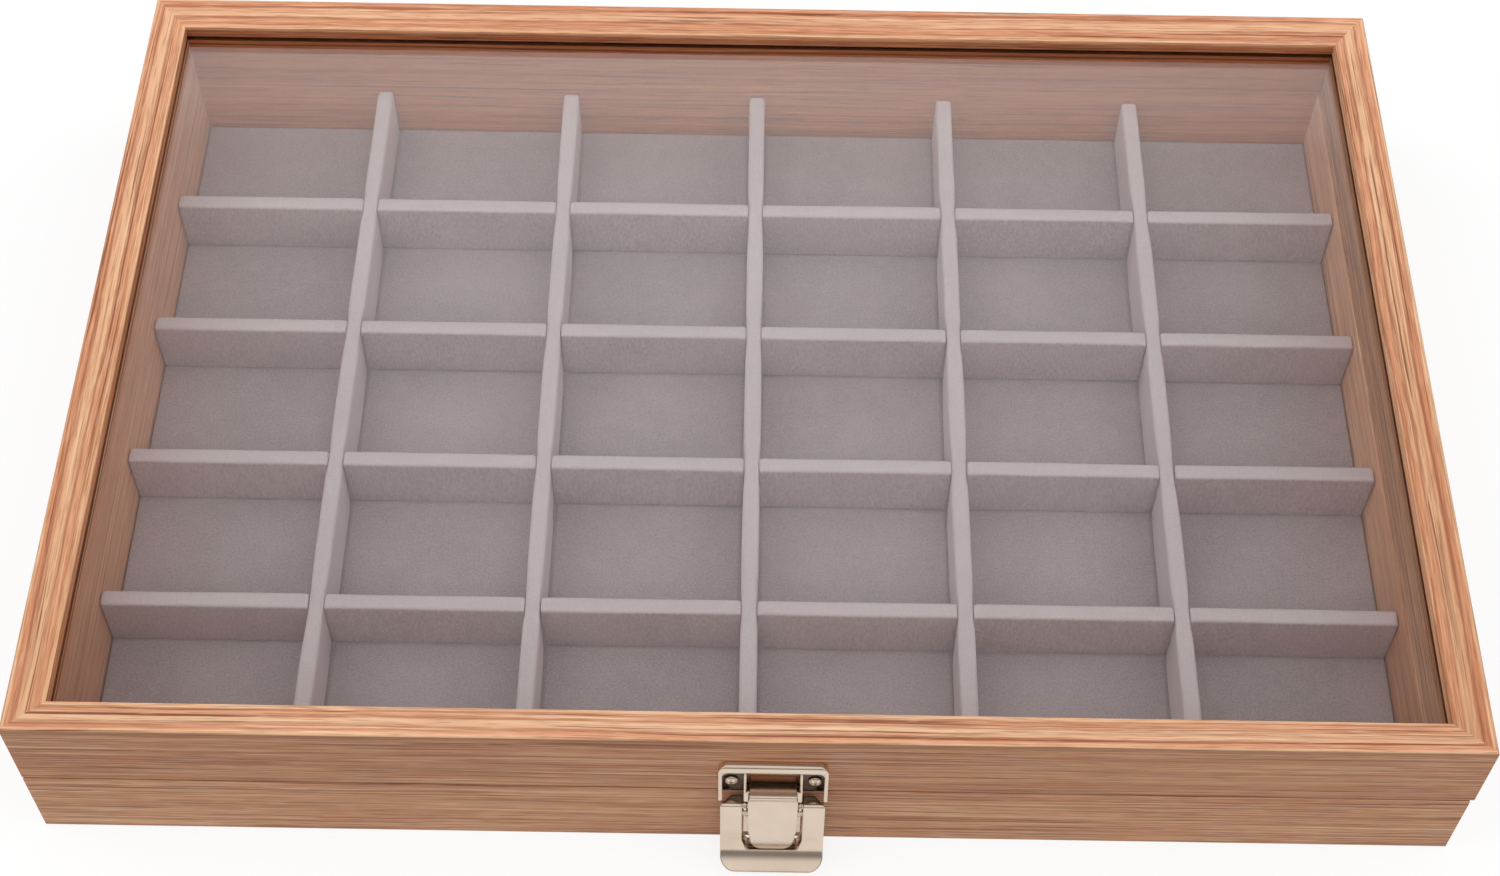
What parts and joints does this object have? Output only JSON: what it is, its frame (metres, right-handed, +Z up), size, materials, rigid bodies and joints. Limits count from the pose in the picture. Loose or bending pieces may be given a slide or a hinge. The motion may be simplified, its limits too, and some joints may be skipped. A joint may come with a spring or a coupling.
{
  "type": "mineral display case",
  "caption": "Flat wooden display case with a hinged glass lid, a front draw latch and a grid of grey velvet compartments.",
  "frame": {"origin": "centre of the base's underside, which rests on the table", "axes": "+X to the right along the length, +Y to the back, towards the hinges, +Z up; the latch is at -Y"},
  "size_m": [0.3508, 0.2554, 0.0497],
  "materials": {
    "wood": "light reddish wood with a straight grain and a satin lacquer",
    "board": "plain brown hardboard, matte",
    "velvet": "warm grey flocked velvet",
    "glass": "clear polished glass",
    "nickel": "bright nickel plating on thin steel sheet"
  },
  "bodies": {
    "base": {"base_front_wall": "wood", "base_back_wall": "wood", "base_left_wall": "wood", "base_right_wall": "wood", "bottom_board": "board", "floor_pad": "velvet", "divider_column_1": "velvet", "divider_column_2": "velvet", "divider_column_3": "velvet", "divider_column_4": "velvet", "divider_column_5": "velvet", "divider_row_1": "velvet", "divider_row_2": "velvet", "divider_row_3": "velvet", "divider_row_4": "velvet", "hinge_base_leaf_left": "nickel", "hinge_base_leaf_right": "nickel", "hinge_pin_left": "nickel", "hinge_pin_right": "nickel", "hinge_base_screws": "nickel", "latch_base_plate": "nickel", "latch_base_screws": "nickel", "lever_pin": "nickel"},
    "lid": {"lid_front_rail": "wood", "lid_back_rail": "wood", "lid_left_rail": "wood", "lid_right_rail": "wood", "glass_pane": "glass", "hinge_lid_leaf_left": "nickel", "hinge_lid_leaf_right": "nickel", "hinge_lid_screws": "nickel", "keeper_plate": "nickel", "keeper_screws": "nickel"},
    "lever": {"latch_lever": "nickel", "hook_pin": "nickel"},
    "hook": {"hook_link": "nickel"}
  },
  "joints": [
    {"name": "lid_hinge", "type": "hinge", "parent": "base", "child": "lid", "pos_m": [0, 0.1222, 0.02515], "axis": [-1, 0, 0], "range_deg": [0, 180]},
    {"name": "lever_pivot", "type": "hinge", "parent": "base", "child": "lever", "pos_m": [0.0064, -0.1231, 0.0233], "axis": [-1, 0, 0], "range_deg": [0, 100]},
    {"name": "hook_pivot", "type": "hinge", "parent": "lever", "child": "hook", "pos_m": [0.0064, -0.1231, 0.0193], "axis": [-1, 0, 0], "range_deg": [-108, 0]}
  ],
  "couplings": [
    {"joint": "hook_pivot", "follows": "lever_pivot", "ratio": -1.08}
  ]
}
